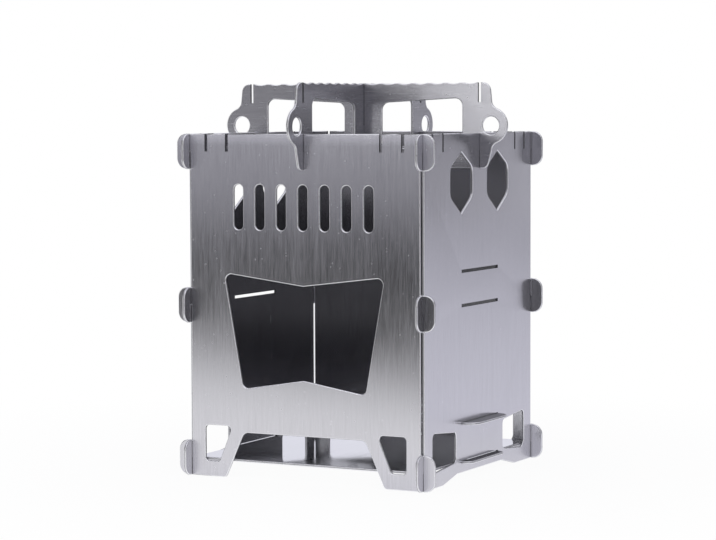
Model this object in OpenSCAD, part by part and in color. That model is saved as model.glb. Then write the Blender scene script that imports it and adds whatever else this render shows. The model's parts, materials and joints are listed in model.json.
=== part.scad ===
// Flat-pack twig stove of laser-cut stainless sheet, in millimetres.
// Four panels lap together at their corner ears, two shelves reach through slots in the side panels,
// and two pot bars cross over the top. Nothing is screwed, hinged or welded.
// The origin is on the floor under the middle of the stove, the fuel port faces -Y and +Z is up.

/* [Sheets and laps] */
// Thickness of every sheet
sheet_t = 1.5; // [1:0.1:2]
// Play of every slot over the sheet that it holds
slot_play = 0.4; // [0.2:0.05:0.6]
// Depth of each half of a lap joint
lap_depth = 10.25; // [9:0.25:11]
// Distance between the middles of opposite panels
span = 150; // [144:1:180]
// Height of the four panels
panel_h = 199; // [190:1:230]

/* [Corner ears] */
// How far an ear reaches past the middle of the panel that it crosses
ear_out = 8; // [7.5:0.1:10]
// Rounding of the ends of the ears
ear_r = 6; // [3:0.5:6]

/* [Top edge slots] */
// Distance of the outer spare slot from the corner
outer_slot_in = 11.6; // [9:0.1:14]
// Distance between the two spare slots of a pair
slot_pair = 13.7; // [10:0.1:16]

/* [Front panel] */
// Width of the fuel port along its upper edge
port_top_w = 103.2; // [80:0.2:106]
// Width of the fuel port along its lower edge
port_bottom_w = 79; // [60:0.2:90]
// Height of the upper corners of the fuel port over the floor
port_top_z = 118.7; // [105:0.1:122]
// Height of the lower corners of the fuel port over the floor
port_bottom_z = 52.2; // [46:0.1:62]
// How far the middles of both long edges bend into the fuel port
port_bend = 6.4; // [2:0.2:8]
// Rounding of the fuel port's corners
port_r = 3.5; // [1:0.5:5]
// Width of one vent in the row over the fuel port
vent_w = 6; // [4:0.5:8]
// Height of one vent
vent_h = 26; // [18:1:30]
// Distance between vents
vent_pitch = 14; // [11:0.5:15]
// Number of vents in the row
vent_count = 7; // [3:2:7]
// Distance of the middle of the vents from the top edge
vent_drop = 42; // [38:1:44]
// Width of a front leg at its foot, from the corner
front_foot_w = 23.5; // [20:0.5:28]
// Width of a front leg where the arch starts, from the corner
front_leg_w = 35.8; // [33:0.1:40]
// Height of the arch between the front legs
front_arch_h = 26.6; // [22:0.1:27]
// Rounding of the arch's corners
front_arch_r = 4; // [1:0.5:5]
// Rounding of a front foot where it meets the floor
front_foot_r = 2.5; // [0.5:0.5:4]
// Width of the window in a front leg along its upper edge
front_window_w = 18; // [14:0.1:19]
// Width of the window in a front leg along its lower edge
front_window_foot_w = 9.3; // [7:0.1:10.5]

/* [Leg windows] */
// Distance of the front windows from their corners
window_margin = 9.9; // [9:0.1:12]
// Height of the lower edge of the front windows
window_low = 9; // [7:0.5:11]
// Height of the upper edge of the front windows
window_high = 30; // [27:0.5:30.5]
// Rounding of the front windows' corners
window_r = 2.4; // [0.4:0.2:3]
// Distance of the side and back windows from their corners
side_window_margin = 11.3; // [10:0.1:13]
// Width of the windows in the side and back panels
side_window_w = 31.3; // [24:0.1:33]
// Height of the lower edge of the side and back windows at the corner
side_window_low = 8.3; // [7:0.1:11]
// Height of the upper edge of the side and back windows at the corner
side_window_high = 31; // [27:0.5:31.5]
// How much those windows narrow towards the middle, above and below
side_window_taper = 2.8; // [0:0.1:4]
// Rounding of those windows' corners
side_window_r = 3; // [0.5:0.5:4]
// Rounding of their lower corners beside the ears
side_window_foot_r = 5; // [0.5:0.5:6]

/* [Side and back feet] */
// Width of a side or back foot where it stands on the floor
side_foot_w = 25; // [20:1:30]
// Height of the shallow arch between those feet
side_arch_h = 4.2; // [2:0.2:5]
// Length of the slope from foot to arch
side_arch_run = 19; // [10:1:24]

/* [Side panel vents] */
// Distance of each shield-shaped vent from the panel's middle
shield_x = 25; // [20:0.5:26]
// Width of a shield-shaped vent
shield_w = 30; // [24:0.5:34]
// Distance of its upper point from the top edge
shield_top_drop = 10.75; // [10.5:0.25:14]
// Height of its upper point over the shoulders
shield_head = 8.8; // [6:0.2:12]
// Height of its straight sides
shield_side = 16.5; // [12:0.5:20]
// Height of its lower point under the straight sides
shield_foot = 9.9; // [6:0.1:12]
// Rounding of its shoulders
shield_r = 6; // [1:0.5:7]

/* [Shelves] */
// Length of a shelf tab
tab_w = 50; // [40:1:52]
// Spare length of the slot for a tab
tab_slot_spare = 0.5; // [0.2:0.1:1]
// Rounding of a tab's end, as far as the tab stands out
tab_r = 8; // [1:0.5:10]
// Height of the ash tray's slots over the floor
tray_level = 10.2; // [7:0.1:13]
// Height of the fire grate's slots over the floor
grate_level = 32.6; // [32:0.1:36]
// Height of the lower pair of spare slots
spare_level_low = 100.4; // [90:0.2:106]
// Height of the upper pair of spare slots
spare_level_high = 120.1; // [112:0.1:128]
// How far the tray's tabs stand out of the side panels
tray_tab_out = 5.5; // [3:0.5:8]
// How far the grate's tabs stand out of the side panels
grate_tab_out = 8.5; // [3:0.5:12]
// Gap between a shelf's edge and the panels round it
shelf_gap = 0.4; // [0.2:0.1:0.8]
// Diameter of the holes in the grate
grate_hole_d = 8; // [5:0.5:10]
// Distance between the holes in the grate
grate_pitch = 18.5; // [15:0.5:19]
// Holes along each side of the grate
grate_rows = 7; // [3:1:7]

/* [Pot bars] */
// Height of a bar's top edge over the panels
bar_rise = 29; // [26:0.5:36]
// Depth of the top beam at the ends of a bar
beam_end = 8.9; // [8:0.1:11]
// Depth of the top beam beside the middle post
beam_mid = 11.6; // [10:0.2:15]
// Depth of the rail under the windows
rail_h = 11.5; // [9:0.5:13]
// Half the width of the middle post
post_half = 12.5; // [8:0.5:16]
// Distance of a window from the middle of the panel that the bar straddles
end_post_w = 10.3; // [7:0.1:14]
// Rounding of the windows in the bars
bar_window_r = 4.5; // [1:0.5:5]
// How far a bar's end reaches past the middle of the panel
bar_end_out = 8.3; // [7:0.1:9]
// How much a bar's post narrows up to its upper corner
bar_top_in = 1.1; // [0:0.1:2]
// Rounding of the upper corners of a bar
bar_top_r = 5; // [1:0.5:6]
// How much a bar's tail narrows down to its lower corner
bar_tail_in = 2.7; // [0:0.1:3.5]
// Rounding of the lower corners of a bar
bar_tail_r = 3.5; // [1:0.5:3.5]
// Depth of the slot in the top of a bar's end
bar_top_slot = 11.4; // [8:0.2:13]
// How far that slot lies past the middle of the panel
bar_top_slot_out = 0.7; // [0:0.1:1.2]
// Diameter of the hole in a lifting ring
ring_hole_d = 10.5; // [8:0.5:12]
// Outer radius of a lifting ring
ring_r = 10.6; // [9:0.1:11]
// How far the ring's middle lies past the middle of the panel
ring_out = 7.8; // [7:0.1:8.2]
// Height of the ring's middle over the panels
ring_rise = 4.1; // [3:0.1:6]
// Fillet between ring and bar
ring_fillet = 5; // [1:0.5:6]
// Distance between the dips along the top edge
dip_pitch = 10.5; // [9:0.5:12]
// Distance of the first dip from the middle
dip_first = 6.6; // [5:0.2:8]
// Width of a dip
dip_w = 8; // [5:0.5:8.5]
// Depth of a dip
dip_depth = 0.65; // [0.3:0.05:1.2]

/* [Hidden] */
$fn = 48;

// Turn of one straight step of a rounded corner, in degrees
arc_step = 11.25;
// Overshoot of a cut that leaves through an edge
past = 5;

half_span = span / 2;
slot_w = sheet_t + slot_play;
body_half = half_span - slot_w / 2;
ear_h = 2 * lap_depth;
ear_levels = [lap_depth, panel_h / 2, panel_h - lap_depth];
outer_slot = half_span - outer_slot_in;
top_slots = [-outer_slot, slot_pair - outer_slot, 0, outer_slot - slot_pair, outer_slot];
front_window_x = half_span - window_margin;
shelf_half = half_span - sheet_t / 2 - shelf_gap;
tab_slot_w = tab_w + tab_slot_spare;
bar_low = panel_h - ear_h;
bar_high = panel_h + bar_rise;
bar_mid = (bar_low + bar_high) / 2;
bar_end = half_span + bar_end_out;
bar_window_end = half_span - end_post_w;
ring_x = half_span + ring_out;
ring_z = panel_h + ring_rise;
dip_r = (dip_w * dip_w / 4 + dip_depth * dip_depth) / (2 * dip_depth);
dip_count = floor((body_half - dip_w / 2 - dip_first) / dip_pitch);

front_steel = "#9a9ca0";
side_steel = "#b4b6bb";
shelf_steel = "#77797c";
bar_steel = "#a8aaae";

// Points of an arc round a middle, from one angle to another
function arc(mid, r, from, to) =
    let (steps = max(2, ceil(abs(to - from) / arc_step)))
    [for (i = [0:steps]) let (a = from + (to - from) * i / steps) mid + r * [cos(a), sin(a)]];

function unit(v) = v / norm(v);
function turn(from, to) = let (d = to - from) d > 180 ? d - 360 : d < -180 ? d + 360 : d;

// One corner b, between its neighbours a and c, with the rounding that b holds as its third value
function corner(a, b, c) =
    let (at = [b.x, b.y], r = b.z, u = unit([a.x, a.y] - at), v = unit([c.x, c.y] - at))
    r == 0 ? [at] :
    let (half = acos(u * v) / 2, mid = at + unit(u + v) * r / sin(half))
    let (start = at + u * r / tan(half) - mid, end = at + v * r / tan(half) - mid)
    let (from = atan2(start.y, start.x))
    arc(mid, r, from, from + turn(from, atan2(end.y, end.x)));

// Closed outline from corners [along, height, rounding]
function rounded(corners) =
    let (n = len(corners))
    [for (i = [0:n - 1]) each corner(corners[(i + n - 1) % n], corners[i], corners[(i + 1) % n])];

function reversed(list) = [for (i = [len(list) - 1:-1:0]) list[i]];
function mirrored(list) = reversed([for (p = list) len(p) == 3 ? [-p.x, p.y, p.z] : [-p.x, p.y]]);

// Right-hand edge of an ear, upwards, with its lap slot open downwards or upwards
function ear(level, opens_down) =
    let (low = level - lap_depth, high = level + lap_depth)
    let (tip = half_span + ear_out, slot_out = half_span + slot_w / 2)
    opens_down
        ? [[body_half, level, 0], [slot_out, level, 0], [slot_out, low, 0],
           [tip, low, ear_r], [tip, high, ear_r], [body_half, high, 0]]
        : [[body_half, low, 0], [tip, low, ear_r], [tip, high, ear_r],
           [slot_out, high, 0], [slot_out, level, 0], [body_half, level, 0]];

// Arch between the front legs, from left to right
function front_arch() =
    let (foot = half_span - front_foot_w, head = half_span - front_leg_w)
    let (right = [[head, front_arch_h, front_arch_r], [foot, 0, front_foot_r]])
    concat(mirrored(right), right);

// Shallow arch between the feet of a side or back panel, from left to right
function side_arch() =
    let (foot = half_span - side_foot_w, right = [[foot - side_arch_run, side_arch_h, 0], [foot, 0, 0]])
    concat(mirrored(right), right);

// Whole outline of a panel: its right-hand edge upwards, the left-hand one downwards, then its arch
function panel_outline(opens_down, arch) =
    let (ears = [for (level = ear_levels) each ear(level, opens_down)])
    let (edge = opens_down ? concat([[body_half, 0, 0]], ears) : concat(ears, [[body_half, panel_h, 0]]))
    concat(edge, mirrored(edge), arch);

// A panel without its windows and vents, with the slots in its top edge
module panel_blank(opens_down, arch) {
    difference() {
        polygon(rounded(panel_outline(opens_down, arch)));
        for (x = top_slots)
            translate([x - slot_w / 2, panel_h - lap_depth]) square([slot_w, lap_depth + past]);
    }
}

// Stands a flat outline up along X, or along Y, with the sheet's thickness to both sides
module stand_along_x() { rotate([90, 0, 0]) linear_extrude(sheet_t, center = true) children(); }
module stand_along_y() { rotate([90, 0, 90]) linear_extrude(sheet_t, center = true) children(); }

module both_sides() {
    children();
    mirror([1, 0]) children();
}

// Six-cornered port, wider above, with both long edges bent inwards
module fuel_port() {
    top = port_top_w / 2;
    bottom = port_bottom_w / 2;
    polygon(rounded([
        [-bottom, port_bottom_z, port_r], [0, port_bottom_z + port_bend, 0], [bottom, port_bottom_z, port_r],
        [top, port_top_z, port_r], [0, port_top_z - port_bend, 0], [-top, port_top_z, port_r]
    ]));
}

module vent_row() {
    first = -(vent_count - 1) / 2;
    straight = vent_h - vent_w;
    for (i = [0:vent_count - 1])
        translate([(first + i) * vent_pitch, panel_h - vent_drop]) {
            square([vent_w, straight], center = true);
            for (end = [-1, 1]) translate([0, end * straight / 2]) circle(d = vent_w);
        }
}

module front_leg_window() {
    polygon(rounded([
        [front_window_x - front_window_foot_w, window_low, window_r], [front_window_x, window_low, window_r],
        [front_window_x, window_high, window_r], [front_window_x - front_window_w, window_high, window_r]
    ]));
}

// Window in a side or back leg, taller towards the corner
module side_leg_window() {
    outer = half_span - side_window_margin;
    inner = outer - side_window_w;
    polygon(rounded([
        [inner, side_window_low + side_window_taper, side_window_r],
        [outer, side_window_low, side_window_foot_r],
        [outer, side_window_high, side_window_r],
        [inner, side_window_high - side_window_taper, side_window_r]
    ]));
}

// Pointed above and below, with straight sides
module shield_vent() {
    side = shield_w / 2;
    peak = panel_h - shield_top_drop;
    shoulder = peak - shield_head;
    hip = shoulder - shield_side;
    polygon(rounded([
        [0, hip - shield_foot, 0], [side, hip, shield_r], [side, shoulder, shield_r],
        [0, peak, 0], [-side, shoulder, shield_r], [-side, hip, shield_r]
    ]));
}

module shelf_slots() {
    for (level = [tray_level, grate_level, spare_level_low, spare_level_high])
        translate([0, level]) square([tab_slot_w, slot_w], center = true);
}

module drop_on_panel(arch) {
    stand_along_x() difference() {
        panel_blank(opens_down = true, arch = arch);
        children();
    }
}

module side_panel() {
    stand_along_y() difference() {
        panel_blank(opens_down = false, arch = side_arch());
        both_sides() side_leg_window();
        both_sides() translate([shield_x, 0]) shield_vent();
        shelf_slots();
    }
}

// Square shelf that rests on the lower edges of the slots at its level
module shelf(level, tab_out) {
    tip = half_span + sheet_t / 2 + tab_out;
    half_tab = tab_w / 2;
    end_r = min(tab_r, tab_out);
    right = [
        [shelf_half, -shelf_half, 0], [shelf_half, -half_tab, 0], [tip, -half_tab, end_r],
        [tip, half_tab, end_r], [shelf_half, half_tab, 0], [shelf_half, shelf_half, 0]
    ];
    translate([0, 0, level - slot_w / 2]) linear_extrude(sheet_t) difference() {
        polygon(rounded(concat(right, mirrored(right))));
        children();
    }
}

module grate_holes() {
    first = -(grate_rows - 1) / 2;
    for (i = [0:grate_rows - 1], j = [0:grate_rows - 1])
        translate([first + i, first + j] * grate_pitch) circle(d = grate_hole_d);
}

// Outer edge of a bar's end, upwards: tail, ring between two fillets, and post
function bar_end_edge() =
    let (aside = bar_end + ring_fillet - ring_x, reach = ring_r + ring_fillet)
    let (up = sqrt(reach * reach - aside * aside), open = atan2(up, aside))
    concat(
        corner([0, bar_low], [bar_end - bar_tail_in, bar_low, bar_tail_r], [bar_end, ring_z - up]),
        arc([bar_end + ring_fillet, ring_z - up], ring_fillet, 180, 180 - open),
        arc([ring_x, ring_z], ring_r, -open, open),
        arc([bar_end + ring_fillet, ring_z + up], ring_fillet, 180 + open, 180),
        corner([bar_end, ring_z + up], [bar_end - bar_top_in, bar_high, bar_top_r], [0, bar_high])
    );

module bar_window() {
    polygon(rounded([
        [post_half, bar_low + rail_h, bar_window_r], [bar_window_end, bar_low + rail_h, bar_window_r],
        [bar_window_end, bar_high - beam_end, bar_window_r], [post_half, bar_high - beam_mid, bar_window_r]
    ]));
}

// A pot bar with its windows, ring holes and end slots, before the half lap in its middle
module bar_blank() {
    right = bar_end_edge();
    difference() {
        polygon(concat(right, mirrored(right)));
        both_sides() {
            bar_window();
            translate([ring_x, ring_z]) circle(d = ring_hole_d);
            translate([body_half, bar_low - past]) square([slot_w, past + lap_depth]);
            translate([body_half + bar_top_slot_out, bar_high - bar_top_slot])
                square([slot_w, bar_top_slot + past]);
            for (i = [0:dip_count])
                translate([dip_first + i * dip_pitch, bar_high + dip_r - dip_depth]) circle(r = dip_r);
        }
    }
}

module front_panel() {
    color(front_steel) translate([0, -half_span, 0]) drop_on_panel(front_arch()) {
        fuel_port();
        vent_row();
        both_sides() front_leg_window();
    }
}

module back_panel() {
    color(front_steel) translate([0, half_span, 0]) drop_on_panel(side_arch())
        both_sides() side_leg_window();
}

module left_panel() { color(side_steel) translate([-half_span, 0, 0]) side_panel(); }

module right_panel() { color(side_steel) translate([half_span, 0, 0]) side_panel(); }

module ash_tray() { color(shelf_steel) shelf(tray_level, tray_tab_out); }

module fire_grate() { color(shelf_steel) shelf(grate_level, grate_tab_out) grate_holes(); }

// Straddles the side panels, and its half lap is open above
module pot_bar_lower() {
    color(bar_steel) stand_along_x() difference() {
        bar_blank();
        translate([-slot_w / 2, bar_mid]) square([slot_w, bar_high - bar_mid + past]);
    }
}

// Straddles the front and back panels, and its half lap is open below
module pot_bar_upper() {
    color(bar_steel) stand_along_y() difference() {
        bar_blank();
        translate([-slot_w / 2, bar_low - past]) square([slot_w, bar_mid - bar_low + past]);
    }
}

front_panel();
back_panel();
left_panel();
right_panel();
ash_tray();
fire_grate();
pot_bar_lower();
pot_bar_upper();
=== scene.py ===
import json
from collections import namedtuple
from math import cos, radians, sin, tan

import bmesh
import bpy
from mathutils import Matrix, Vector
from mathutils.bvhtree import BVHTree

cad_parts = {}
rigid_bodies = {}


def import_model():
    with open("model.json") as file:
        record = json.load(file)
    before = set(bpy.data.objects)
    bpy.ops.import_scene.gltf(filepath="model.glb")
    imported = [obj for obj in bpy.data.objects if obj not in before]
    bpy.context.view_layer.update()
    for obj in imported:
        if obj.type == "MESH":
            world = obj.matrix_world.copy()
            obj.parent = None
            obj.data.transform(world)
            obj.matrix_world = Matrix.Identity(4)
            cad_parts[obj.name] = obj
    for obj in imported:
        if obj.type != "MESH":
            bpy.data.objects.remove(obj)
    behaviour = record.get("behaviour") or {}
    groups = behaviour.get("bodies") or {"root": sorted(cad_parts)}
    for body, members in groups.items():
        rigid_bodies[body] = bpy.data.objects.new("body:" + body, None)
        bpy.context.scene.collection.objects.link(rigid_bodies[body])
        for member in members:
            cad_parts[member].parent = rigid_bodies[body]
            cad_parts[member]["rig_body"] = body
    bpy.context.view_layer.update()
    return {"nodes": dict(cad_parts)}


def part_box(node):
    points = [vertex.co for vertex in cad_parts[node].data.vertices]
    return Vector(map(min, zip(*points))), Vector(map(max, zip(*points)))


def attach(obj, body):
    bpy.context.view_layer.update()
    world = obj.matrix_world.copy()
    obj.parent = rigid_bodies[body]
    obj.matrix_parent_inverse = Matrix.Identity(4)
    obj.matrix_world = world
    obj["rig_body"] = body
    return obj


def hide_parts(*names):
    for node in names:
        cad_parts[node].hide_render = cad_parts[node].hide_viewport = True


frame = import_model()

MM = 0.001
X, Y, Z = range(3)

# View of the photograph, found by fitting the corners of the panels
IMAGE_WIDTH = 716
FOCAL_PIXELS = 2438.485
SENSOR_WIDTH = 36.0
VIEW_AZIMUTH = radians(27.456)
VIEW_ELEVATION = radians(3.831)
VIEW_ROLL = radians(-0.212)
VIEW_DISTANCE = 1450.6 * MM
TARGET_RIGHT = -3.624 * MM
TARGET_UP = 117.299 * MM

# Thin axis of each sheet and the direction of its brushing
SHEETS = {
    "front_panel": (Y, Z),
    "back_panel": (Y, Z),
    "left_panel": (X, Z),
    "right_panel": (X, Z),
    "ash_tray": (Z, Y),
    "fire_grate": (Z, Y),
    "pot_bar_lower": (Y, X),
    "pot_bar_upper": (X, Y),
}
PANELS = [node for node in SHEETS if node.endswith("_panel")]

# Order of the materials on a sheet. Only panels have the last one
FACE, RIM, WALL, SLOT, INNER = range(5)

# Rounding of the deburred edges of every sheet
EDGE_ROUND = 0.5 * MM
EDGE_STEPS = 3
ROUND_PROFILE = 0.5
SHARP_ANGLE = radians(25)
FLAT_ANGLE = radians(0.5)
WELD = 0.001 * MM
# Pull of the large flat faces on the shading of the rims
FLAT_WEIGHT = 100
# A face that leans less than this towards the thin axis is a wall of the cut
WALL_LEAN = 0.5
# Slots up to this width keep the sharp walls of the cut, which are painted dark as painted shade inside the
# narrow gap
NARROW_SLOT = 2.5 * MM

# Distance from the middle at which the ears start to stand clear of the panels
EARS_START = 76.5 * MM
EARS_BLEND = 0.5 * MM

# Reflectance of the outer steel, from which marks and worn steel differ by a factor
PANEL_STEEL = (0.65, 0.645, 0.68)

# Looks of each surface: its colour, the factors of its darkest and palest tone, its smoothest and
# roughest gloss, and how far the brushing stretches what it mirrors
Finish = namedtuple("Finish", "colour tones gloss anisotropy")
FRONT_FINISH = Finish(PANEL_STEEL, (0.915, 1.085), (0.15, 0.27), 0.95)
PANEL_FINISH = Finish(PANEL_STEEL, (0.93, 1.07), (0.12, 0.26), 0.85)
# Inner sides of the panels: rougher, and darker as painted shade for the dim inside of the stove
INNER_SHADED_FINISH = Finish((0.50, 0.496, 0.52), (0.95, 1.05), (0.20, 0.27), 0.8)
BAR_FINISH = Finish(PANEL_STEEL, (0.93, 1.07), (0.19, 0.29), 0.75)
# Fire grate: a rougher mill finish, and darker as painted shade for the dim ash space round it
GRATE_SHADED_FINISH = Finish((0.45, 0.45, 0.465), (0.97, 1.03), (0.28, 0.38), 0.3)
TRAY_FINISH = Finish((0.75, 0.765, 0.80), (0.96, 1.02), (0.04, 0.08), 0.0)
RIM_FINISH = Finish((0.88, 0.88, 0.90), (0.9, 1.05), (0.26, 0.38), 0.0)
WALL_FINISH = Finish((0.40, 0.40, 0.415), (0.86, 1.14), (0.34, 0.46), 0.0)
# Walls of narrow slots: their dark colour is painted shade inside the slots
SLOT_SHADE_FINISH = Finish((0.16, 0.16, 0.17), (0.86, 1.14), (0.50, 0.62), 0.0)

# Layers of noise: features per metre along one direction and across it, and the finer octaves
Layer = namedtuple("Layer", "along across detail")
GRAIN = Layer(45, 5200, 2.0)
HAIR = Layer(90, 1500, 3.0)
STREAK = Layer(12, 1250, 2.0)
BAND = Layer(4, 320, 2.0)
BROAD = Layer(2.5, 90, 1.0)
SMUDGE = Layer(24, 24, 3.0)
SCRATCH = Layer(9, 1100, 0.0)
ROLLING_LINES = Layer(12, 900, 2.0)
TRAY_SMUDGE = Layer(30, 30, 3.0)
TRAY_SCRATCH = Layer(22, 1300, 0.0)
NICKS = Layer(1500, 1500, 2.0)
CUT_LINES = Layer(160, 3200, 2.0)

# Ranges in which noise mostly lies: in a blend of many layers, in one or two, and in one taken wider
BLEND_RANGE = (0.36, 0.64)
NOISE_RANGE = (0.35, 0.65)
WIDE_RANGE = (0.3, 0.7)
# Peaks of a layer that show as scratches
PEAK_RANGE = (0.75, 0.79)

# Depth of the fine relief
RELIEF_STRENGTH = 0.25
BRUSH_DEPTH = 0.06 * MM
ROLLING_DEPTH = 0.003 * MM
CUT_DEPTH = 0.02 * MM

# Scratches and specks are paler and rougher than the steel round them. Specks lie in chosen cells of a
# cell pattern, and their size is a share of a cell
SPECKS_PER_METRE = 200
SPECK_SIZE = 0.08
SPECK_FADE = 1.6
SPECK_CHOICE = 0.56
SCRATCH_SHARE = 0.2
MARK_SHARE = 0.5
MARK_PALER = 1.3
MARK_ROUGHER = 0.06
TRAY_SCRATCH_ROUGHER = 0.1

# How far down from its top edge the front panel is painted paler, as a painted highlight along the edge,
# and how much paler
TOP_GLOW_DEPTH = 7 * MM
TOP_GLOW_PALER = 1.45

# Brushing that runs level on an upright sheet is turned by a quarter of the circle
LEVEL_TURN = 0.25

# Level directions from the stove: to the camera, away from it, where the right panel mirrors its
# view, and a little left of the front
FRONT_TURN = radians(10)
TO_CAMERA = (sin(VIEW_AZIMUTH), -cos(VIEW_AZIMUTH), 0.0)
AWAY = (-sin(VIEW_AZIMUTH), cos(VIEW_AZIMUTH), 0.0)
BACK_RIGHT = (sin(VIEW_AZIMUTH), cos(VIEW_AZIMUTH), 0.0)
FRONT_LEFT = (-sin(FRONT_TURN), -cos(FRONT_TURN), 0.0)
BACK = (0.0, 1.0, 0.0)
UP = (0.0, 0.0, 1.0)

# Size of the studio, in metres, and the place that its lamps face
STUDIO_RADIUS = 3.2
STUDIO_HEIGHT = 2.4
ROUND_STEPS = 96
STOVE_MIDDLE = (0.0, 0.0, 0.1)

WHITE = (1.0, 1.0, 1.0, 1.0)

# White paper lies round the stove. It ends in a darker floor towards the camera, and towards the
# back right it is a little bluish and dims slowly
PAPER_FADE = (0.22, 0.66)
STUDIO_FLOOR = 0.08
PAPER_NEAR = 0.87
PAPER_BACK_DIM = 0.58
PAPER_BACK_END = 2.2
PAPER_SEAM = (-0.15, 0.15)
HUE_SEAM = (-0.2, 0.3)
BLUISH_PAPER = (0.97, 0.965, 1.07, 1.0)
# Shares of the paper that glow: for the steel, and for the camera near the stove, where it keeps a shadow
MIRRORED_GLOW = 0.85
SEEN_GLOW = 0.94
SHADOW_REACH = (0.1, 0.4)

# The walls are pale near the floor and dark above. Each side has its own level of light
WALL_LOW = 0.43
WALL_FRONT = 0.34
WALL_BESIDE = 0.1
WALL_BEHIND = 0.88
WALL_HIGH = 0.07
WALL_FADE = (0.22, 0.40)
WALL_TILT = 0.025
WALL_HUE = (0.97, 0.965, 1.05, 1.0)
# The ceiling glows, a white sheet hangs behind the stove and a pale card at its back right
CEILING = 0.95
CEILING_START = 0.9
SHEET = 0.85
SHEET_FADE = (0.7, 1.4)
CARD = 0.42
CARD_FADE = (0.42, 0.56)
# Where the sides of the studio blend into each other, as shares of its radius
FRONT_BLEND = (0.92, 0.97)
BESIDE_BLEND = (0.55, 0.80)
BEHIND_BLEND = (0.82, 0.97)
SHEET_BLEND = (0.88, 0.97)
CARD_BLEND = (0.8, 0.95)

# Light that the world throws on the object. Where it is seen or mirrored, the world is white
DIM_SKY = (0.35, 0.35, 0.37, 1.0)

LAMP_DISTANCE = 2.0

# Sockets of a colour mix, by number, because mixes of numbers and vectors have the same names
MIX_SHARE, MIX_A, MIX_B = 0, 6, 7
MIX_RESULT = 2


class Graph:
    """Short ways to add and join the nodes of one material or world."""

    def __init__(self, tree):
        self.tree = tree
        self.tree.nodes.clear()

    def add(self, kind, inputs=None, **settings):
        node = self.tree.nodes.new(kind)
        for name, value in settings.items():
            setattr(node, name, value)
        for name, value in (inputs or {}).items():
            self.put(node.inputs[name], value)
        return node

    def put(self, socket, value):
        if isinstance(value, bpy.types.NodeSocket):
            self.tree.links.new(value, socket)
        else:
            socket.default_value = value

    def math(self, operation, a, b=0.0, clamp=False):
        return self.add("ShaderNodeMath", {0: a, 1: b}, operation=operation, use_clamp=clamp).outputs[0]

    def blend(self, *shares):
        """Sum of values, each times its weight."""
        total = 0.0
        for value, weight in shares:
            inputs = {0: value, 1: weight, 2: total}
            total = self.add("ShaderNodeMath", inputs, operation="MULTIPLY_ADD").outputs[0]
        return total

    def spread(self, value, low, high, to_low=0.0, to_high=1.0, smooth=False):
        """A value stretched from one range to another, and held at its ends."""
        inputs = {"Value": value, "From Min": low, "From Max": high, "To Min": to_low, "To Max": to_high}
        kind = "SMOOTHSTEP" if smooth else "LINEAR"
        return self.add("ShaderNodeMapRange", inputs, interpolation_type=kind).outputs["Result"]

    def mix(self, share, a, b):
        """A colour between two others."""
        node = self.add("ShaderNodeMix", {MIX_SHARE: share, MIX_A: a, MIX_B: b}, data_type="RGBA")
        return node.outputs[MIX_RESULT]

    def object_place(self):
        return self.add("ShaderNodeTexCoord").outputs["Object"]

    def stretched(self, scales):
        inputs = {0: self.object_place(), 1: scales}
        return self.add("ShaderNodeVectorMath", inputs, operation="MULTIPLY").outputs[0]

    def noise(self, layer, axis):
        """A layer of noise that lies along one axis."""
        scales = [layer.across] * 3
        scales[axis] = layer.along
        inputs = {"Vector": self.stretched(tuple(scales)), "Scale": 1.0, "Detail": layer.detail}
        return self.add("ShaderNodeTexNoise", inputs).outputs["Fac"]

    def specks(self):
        """Rare round specks, in some of the cells of a cell pattern."""
        inputs = {"Vector": self.stretched((SPECKS_PER_METRE,) * 3), "Scale": 1.0}
        cells = self.add("ShaderNodeTexVoronoi", inputs).outputs
        near = self.spread(cells["Distance"], SPECK_SIZE, SPECK_FADE * SPECK_SIZE, 1.0, 0.0)
        chosen = self.math("GREATER_THAN", cells["Color"], SPECK_CHOICE)
        return self.math("MULTIPLY", near, chosen)

    def outside(self):
        """1 on the ears, which stand out past the panels, and 0 inside the stove."""
        level = self.add("ShaderNodeSeparateXYZ", {0: self.object_place()}).outputs
        reach = self.math("MAXIMUM", self.math("ABSOLUTE", level["X"]), self.math("ABSOLUTE", level["Y"]))
        return self.spread(reach, EARS_START, EARS_START + EARS_BLEND)

    def near_top(self, top):
        """From 0 well below a sheet's top edge to 1 at the edge."""
        height = self.add("ShaderNodeSeparateXYZ", {0: self.object_place()}).outputs["Z"]
        return self.spread(height, top - TOP_GLOW_DEPTH, top)

    def studio_place(self):
        return self.add("ShaderNodeNewGeometry").outputs["Position"]

    def along(self, direction):
        """Distance from the origin in one direction of the studio."""
        inputs = {0: self.studio_place(), 1: direction}
        return self.add("ShaderNodeVectorMath", inputs, operation="DOT_PRODUCT").outputs["Value"]

    def from_origin(self):
        inputs = {0: self.studio_place()}
        return self.add("ShaderNodeVectorMath", inputs, operation="LENGTH").outputs["Value"]

    def on_side(self, direction, shares, low, high, smooth=False):
        """A value that goes from low to high towards the studio's wall on one side."""
        start, end = (share * STUDIO_RADIUS for share in shares)
        return self.spread(self.along(direction), start, end, low, high, smooth)


def new_graph(name):
    material = bpy.data.materials.new(name)
    material.use_nodes = True
    return material, Graph(material.node_tree)


def tinted(colour, factor):
    return tuple(min(1.0, c * factor) for c in colour) + (1.0,)


def toned(g, share, finish):
    """A finish's colour between its darkest and its palest tone."""
    darkest, palest = finish.tones
    return g.mix(share, tinted(finish.colour, darkest), tinted(finish.colour, palest))


def metal(g, colour, roughness, height, depth, anisotropy=0.0, tangent=None, turn=0.0):
    """Closes a steel material: its colour and roughness, and fine relief of the given depth."""
    relief = g.add("ShaderNodeBump", {"Strength": RELIEF_STRENGTH, "Distance": depth, "Height": height})
    surface = g.add("ShaderNodeBsdfPrincipled", {
        "Base Color": colour, "Metallic": 1.0, "Roughness": roughness, "Anisotropic": anisotropy,
        "Anisotropic Rotation": turn, "Normal": relief.outputs["Normal"],
    })
    if tangent:
        g.put(surface.inputs["Tangent"], tangent)
    g.add("ShaderNodeOutputMaterial", {"Surface": surface.outputs["BSDF"]})


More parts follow.
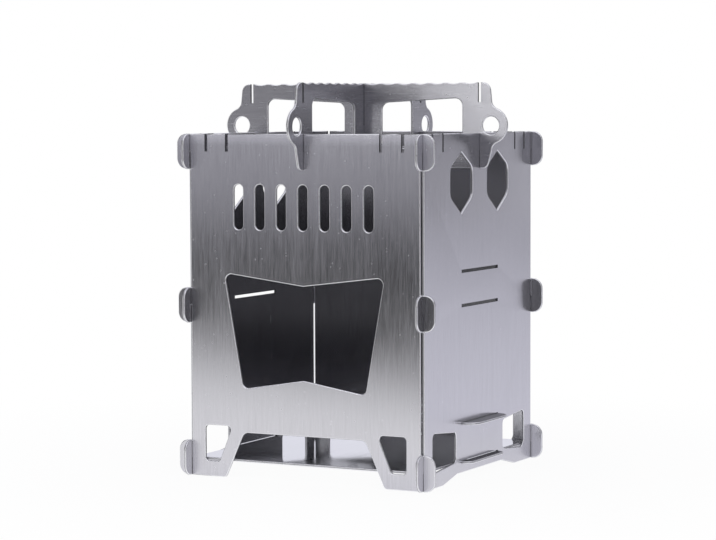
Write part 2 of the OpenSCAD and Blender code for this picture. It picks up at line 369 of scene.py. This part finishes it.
def brushed_steel(name, thin, along, finish, inner=False, glowing_top=None):
    """Brushed sheet: hair-fine grain, streaks, smudges, scratches and, on outer sides, pale specks. An
    inner side gets painted shade inside the stove, and a given top edge a painted highlight.
    """
    material, g = new_graph(name)
    grain = g.noise(GRAIN, along)
    hair = g.noise(HAIR, along)
    streak = g.noise(STREAK, along)
    band = g.noise(BAND, along)
    broad = g.noise(BROAD, along)
    smudge = g.noise(SMUDGE, along)
    scratch = g.spread(g.noise(SCRATCH, along), *PEAK_RANGE)
    speck = 0.0 if inner else g.specks()
    marks = g.math("ADD", g.math("MULTIPLY", scratch, SCRATCH_SHARE), speck, clamp=True)

    tone = g.blend((grain, 0.20), (hair, 0.42), (streak, 0.14), (band, 0.12), (broad, 0.12))
    steel = toned(g, g.spread(tone, *BLEND_RANGE), finish)
    # Painted shade: the inner side is darker only inside the stove, and the ears that stand outside keep
    # the outer steel's colour
    if inner:
        steel = g.mix(g.outside(), steel, tinted(PANEL_STEEL, 1.0))
    # Painted highlight: the front panel is painted paler towards its top edge, as a glow along the edge
    if glowing_top:
        steel = g.mix(g.near_top(glowing_top), steel, tinted(PANEL_STEEL, TOP_GLOW_PALER))
    steel = g.mix(g.math("MULTIPLY", marks, MARK_SHARE), steel, tinted(PANEL_STEEL, MARK_PALER))

    sheen = g.blend((grain, 0.14), (hair, 0.38), (streak, 0.16), (band, 0.10), (broad, 0.12),
                    (smudge, 0.10))
    gloss = g.spread(sheen, *BLEND_RANGE, *finish.gloss)
    roughness = g.math("ADD", gloss, g.math("MULTIPLY", marks, MARK_ROUGHER))

    relief = g.blend((grain, 0.2), (hair, 0.4), (streak, 0.2), (smudge, 0.2), (scratch, -0.2))
    around = g.add("ShaderNodeTangent", direction_type="RADIAL", axis="Y" if thin == Z else "Z")
    level_brushing = thin != Z and along != Z
    metal(g, steel, roughness, relief, BRUSH_DEPTH,
          finish.anisotropy, around.outputs["Tangent"], LEVEL_TURN if level_brushing else 0.0)
    return material


def mirror_steel(name, along, finish):
    """Bright rolled sheet: almost a mirror, with faint rolling lines, smudges and a few scratches."""
    material, g = new_graph(name)
    lines = g.noise(ROLLING_LINES, along)
    smudge = g.noise(TRAY_SMUDGE, along)
    scratch = g.spread(g.noise(TRAY_SCRATCH, along), *PEAK_RANGE)
    steel = toned(g, g.spread(g.blend((lines, 0.5), (smudge, 0.5)), *NOISE_RANGE), finish)
    gloss = g.spread(g.blend((lines, 0.4), (smudge, 0.6)), *NOISE_RANGE, *finish.gloss)
    roughness = g.math("ADD", gloss, g.math("MULTIPLY", scratch, TRAY_SCRATCH_ROUGHER))
    metal(g, steel, roughness, g.blend((lines, 0.3), (scratch, -0.5)), ROLLING_DEPTH)
    return material


def rim_steel(finish):
    """Tumbled rim of a cut edge: pale and satin, with tiny nicks."""
    material, g = new_graph("rim_steel")
    nicks = g.noise(NICKS, X)
    steel = toned(g, g.spread(nicks, *NOISE_RANGE), finish)
    metal(g, steel, g.spread(nicks, *WIDE_RANGE, *finish.gloss), nicks, CUT_DEPTH)
    return material


def wall_steel(name, thin, finish):
    """Cut wall of a sheet, with the fine lines that the cut leaves across it."""
    material, g = new_graph(name + "_" + "xyz"[thin])
    lines = g.noise(CUT_LINES, thin)
    steel = toned(g, g.spread(lines, *NOISE_RANGE), finish)
    metal(g, steel, g.spread(lines, *WIDE_RANGE, *finish.gloss), lines, CUT_DEPTH)
    return material


def face_steel(node):
    """The sheet's faces, or only the outer one on a panel."""
    thin, along = SHEETS[node]
    name = node + "_steel"
    if node == "ash_tray":
        return mirror_steel(name, along, TRAY_FINISH)
    if node == "fire_grate":
        return brushed_steel(name, thin, along, GRATE_SHADED_FINISH)
    if node.startswith("pot_bar"):
        return brushed_steel(name, thin, along, BAR_FINISH)
    if node == "front_panel":
        return brushed_steel(name, thin, along, FRONT_FINISH, glowing_top=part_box(node)[1][Z])
    return brushed_steel(name, thin, along, PANEL_FINISH)


def inner_shaded_steel(node):
    """The side of a panel that faces the fire: rougher, and darker as painted shade for the dim inside of
    the stove.
    """
    thin, along = SHEETS[node]
    return brushed_steel(node + "_inner_shaded_steel", thin, along, INNER_SHADED_FINISH, inner=True)


def slot_walls(bm, walls):
    """The walls of narrow slots: those that face another wall close by, and the slots' ends."""
    tree = BVHTree.FromBMesh(bm)
    sides = set()
    for wall in walls:
        start = wall.calc_center_median() + wall.normal * WELD
        if tree.ray_cast(start, wall.normal, NARROW_SLOT)[0]:
            sides.add(wall)
    short = [wall for wall in walls if max(e.calc_length() for e in wall.edges) < NARROW_SLOT]
    ends = {wall for wall in short
            if all(f in sides for e in wall.edges for f in e.link_faces if f in walls and f is not wall)}
    return sides | ends


def mark_faces(bm, node):
    """Gives each face of a sheet its material, and returns the walls of the narrow slots."""
    thin = SHEETS[node][0]
    walls = {f for f in bm.faces if abs(f.normal[thin]) < WALL_LEAN}
    narrow = slot_walls(bm, walls)
    middle = sum((v.co[thin] for v in bm.verts), 0.0) / len(bm.verts)
    for f in bm.faces:
        f.smooth = True
        f.material_index = SLOT if f in narrow else WALL if f in walls else FACE
        if node in PANELS and f not in walls and f.normal[thin] * middle < 0:
            f.material_index = INNER
    return narrow


def deburred_mesh(node):
    """The mesh of a CAD sheet with rounded edges, apart from those of narrow slots."""
    mesh = bpy.data.meshes.new(node + "_sheet")
    bm = bmesh.new()
    bm.from_mesh(frame["nodes"][node].data)
    bmesh.ops.remove_doubles(bm, verts=bm.verts, dist=WELD)
    bmesh.ops.dissolve_limit(bm, angle_limit=FLAT_ANGLE, verts=bm.verts, edges=bm.edges)
    bm.normal_update()
    narrow = mark_faces(bm, node)
    sharp = [e for e in bm.edges if e.is_manifold and e.calc_face_angle() > SHARP_ANGLE
             and not narrow.intersection(e.link_faces)]
    bmesh.ops.bevel(bm, geom=sharp, offset=EDGE_ROUND, offset_type="OFFSET", segments=EDGE_STEPS,
                    profile=ROUND_PROFILE, affect="EDGES", clamp_overlap=False, loop_slide=False,
                    material=RIM)
    bm.to_mesh(mesh)
    bm.free()
    return mesh


def make_sheet(node, materials):
    """A deburred copy of a CAD sheet, which then stands for it."""
    mesh = deburred_mesh(node)
    for material in materials:
        mesh.materials.append(material)
    sheet = bpy.data.objects.new(node + "_sheet", mesh)
    bpy.context.scene.collection.objects.link(sheet)
    keep_flat = sheet.modifiers.new("keep_flat", "WEIGHTED_NORMAL")
    keep_flat.weight = FLAT_WEIGHT
    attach(sheet, frame["nodes"][node]["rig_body"])
    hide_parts(node)
    return sheet


def make_sheets():
    """Every sheet, with the finish of its faces, rims and walls."""
    rim = rim_steel(RIM_FINISH)
    walls = [wall_steel("wall_steel", thin, WALL_FINISH) for thin in (X, Y, Z)]
    # Narrow slot walls get a dark finish, which is painted shade inside the slots
    narrow = [wall_steel("slot_shade_steel", thin, SLOT_SHADE_FINISH) for thin in (X, Y, Z)]
    for node, (thin, _) in SHEETS.items():
        materials = [face_steel(node), rim, walls[thin], narrow[thin]]
        if node in PANELS:
            materials.append(inner_shaded_steel(node))
        sheet = make_sheet(node, materials)


def make_camera():
    """The photograph's view, turned round the stove and aimed at a point near its middle."""
    a, e = VIEW_AZIMUTH, VIEW_ELEVATION
    back = Vector((sin(a) * cos(e), -cos(a) * cos(e), sin(e)))
    target = Vector((TARGET_RIGHT * cos(a), TARGET_RIGHT * sin(a), TARGET_UP))
    data = bpy.data.cameras.new("camera")
    data.sensor_width = SENSOR_WIDTH
    data.lens = FOCAL_PIXELS / IMAGE_WIDTH * SENSOR_WIDTH
    camera = bpy.data.objects.new("camera", data)
    turn = (-back).to_track_quat("-Z", "Y").to_matrix() @ Matrix.Rotation(VIEW_ROLL, 3, "Z")
    camera.matrix_world = Matrix.Translation(target + back * VIEW_DISTANCE) @ turn.to_4x4()
    bpy.context.scene.collection.objects.link(camera)
    bpy.context.scene.camera = camera


def stage_object(name, bm, material):
    """A piece of the studio, which isn't part of the stove."""
    mesh = bpy.data.meshes.new(name)
    bm.to_mesh(mesh)
    bm.free()
    mesh.materials.append(material)
    stage = bpy.data.objects.new(name, mesh)
    bpy.context.scene.collection.objects.link(stage)
    return stage


def make_floor():
    """Paper that the camera sees as white with a faint shadow, and the steel as white that dims far off."""
    material, g = new_graph("floor")
    back = g.along(BACK_RIGHT)
    before = g.spread(g.along(TO_CAMERA), *PAPER_FADE, 1.0, STUDIO_FLOOR, smooth=True)
    behind = g.spread(back, 0.0, PAPER_BACK_END, PAPER_NEAR, PAPER_BACK_DIM)
    paper = g.spread(back, *PAPER_SEAM, before, behind)
    hue = g.mix(g.spread(back, *HUE_SEAM), WHITE, BLUISH_PAPER)

    path = g.add("ShaderNodeLightPath").outputs
    seen = path["Is Camera Ray"]
    mirrored = g.math("MAXIMUM", path["Is Glossy Ray"], path["Is Transmission Ray"])
    shadow_free = g.math("MULTIPLY", seen, g.spread(g.from_origin(), *SHADOW_REACH, SEEN_GLOW, 1.0))
    share = g.math("MAXIMUM", shadow_free, g.math("MULTIPLY", mirrored, MIRRORED_GLOW))
    lit = g.add("ShaderNodeBsdfDiffuse", {"Color": paper})
    shown = g.mix(seen, hue, WHITE)
    strength = g.spread(seen, 0.0, 1.0, paper, 1.0)
    glow = g.add("ShaderNodeEmission", {"Color": shown, "Strength": strength})
    floor = g.add("ShaderNodeMixShader", {0: share, 1: lit.outputs[0], 2: glow.outputs[0]})
    g.add("ShaderNodeOutputMaterial", {"Surface": floor.outputs[0]})

    bm = bmesh.new()
    bmesh.ops.create_circle(bm, cap_ends=True, segments=ROUND_STEPS, radius=STUDIO_RADIUS)
    stage_object("floor", bm, material)


def make_walls():
    """Studio round the stove, which only its light and its mirror image show."""
    material, g = new_graph("studio_walls")
    height = g.along(UP)
    low = g.on_side(FRONT_LEFT, FRONT_BLEND, WALL_LOW, WALL_FRONT, smooth=True)
    beside = g.on_side(BACK, BESIDE_BLEND, 1.0, WALL_BESIDE)
    behind = g.on_side(BACK, BEHIND_BLEND, 0.0, WALL_BEHIND)
    low = g.blend((low, beside), (behind, 1.0))
    tilted = g.blend((height, 1.0), (g.along(BACK_RIGHT), WALL_TILT))
    plain = g.spread(tilted, *WALL_FADE, low, WALL_HIGH, smooth=True)
    above = g.spread(height, CEILING_START * STUDIO_HEIGHT, STUDIO_HEIGHT, 0.0, CEILING)
    sheet = g.on_side(AWAY, SHEET_BLEND, 0.0, SHEET)
    sheet = g.math("MULTIPLY", sheet, g.spread(height, *SHEET_FADE, 1.0, 0.0, smooth=True))
    card = g.on_side(BACK_RIGHT, CARD_BLEND, 0.0, CARD)
    card = g.math("MULTIPLY", card, g.spread(height, *CARD_FADE, smooth=True))
    strength = plain
    for part in (above, sheet, card):
        strength = g.math("MAXIMUM", strength, part)
    glow = g.add("ShaderNodeEmission", {"Color": WALL_HUE, "Strength": strength})
    g.add("ShaderNodeOutputMaterial", {"Surface": glow.outputs[0]})

    bm = bmesh.new()
    half_way = Matrix.Translation((0, 0, STUDIO_HEIGHT / 2))
    bmesh.ops.create_cone(bm, cap_ends=False, segments=ROUND_STEPS, radius1=STUDIO_RADIUS,
                          radius2=STUDIO_RADIUS, depth=STUDIO_HEIGHT, matrix=half_way)
    bmesh.ops.create_circle(bm, cap_ends=True, segments=ROUND_STEPS, radius=STUDIO_RADIUS,
                            matrix=Matrix.Translation((0, 0, STUDIO_HEIGHT)))
    walls = stage_object("studio_walls", bm, material)
    walls.visible_camera = False
    walls.visible_shadow = False


def make_world():
    """A world that shows white and lights the object only dimly."""
    world = bpy.data.worlds.new("studio")
    bpy.context.scene.world = world
    world.use_nodes = True
    g = Graph(world.node_tree)
    path = g.add("ShaderNodeLightPath").outputs
    seen = g.math("MAXIMUM", path["Is Camera Ray"], path["Is Glossy Ray"])
    seen = g.math("MAXIMUM", seen, path["Is Transmission Ray"])
    dim = g.add("ShaderNodeBackground", {"Color": DIM_SKY})
    white = g.add("ShaderNodeBackground", {"Color": WHITE})
    both = g.add("ShaderNodeMixShader", {0: seen, 1: dim.outputs[0], 2: white.outputs[0]})
    g.add("ShaderNodeOutputWorld", {"Surface": both.outputs[0]})


def softbox(name, left_end, right_end, height, tall, power):
    """Upright box that faces the stove, between two directions counted to the left of the front."""
    turn = (left_end + right_end) / 2
    place = Vector((-LAMP_DISTANCE * sin(turn), -LAMP_DISTANCE * cos(turn), height))
    data = bpy.data.lights.new(name, "AREA")
    data.shape = "RECTANGLE"
    data.size = 2 * LAMP_DISTANCE * tan((left_end - right_end) / 2)
    data.size_y = tall
    data.energy = power
    lamp = bpy.data.objects.new(name, data)
    lamp.location = place
    lamp.rotation_mode = "QUATERNION"
    lamp.rotation_quaternion = (Vector(STOVE_MIDDLE) - place).to_track_quat("-Z", "Y")
    bpy.context.scene.collection.objects.link(lamp)


def make_lights():
    """A box before the stove, whose left end the pot bars mirror, and one at its right."""
    softbox("front_box", left_end=radians(25.4), right_end=radians(-4), height=0.63, tall=0.83, power=4.9)
    softbox("right_box", left_end=radians(-50), right_end=radians(-80), height=0.8, tall=1.2, power=4.0)


make_camera()
make_sheets()
make_floor()
make_walls()
make_world()
make_lights()
bpy.context.scene.view_settings.view_transform = "Standard"
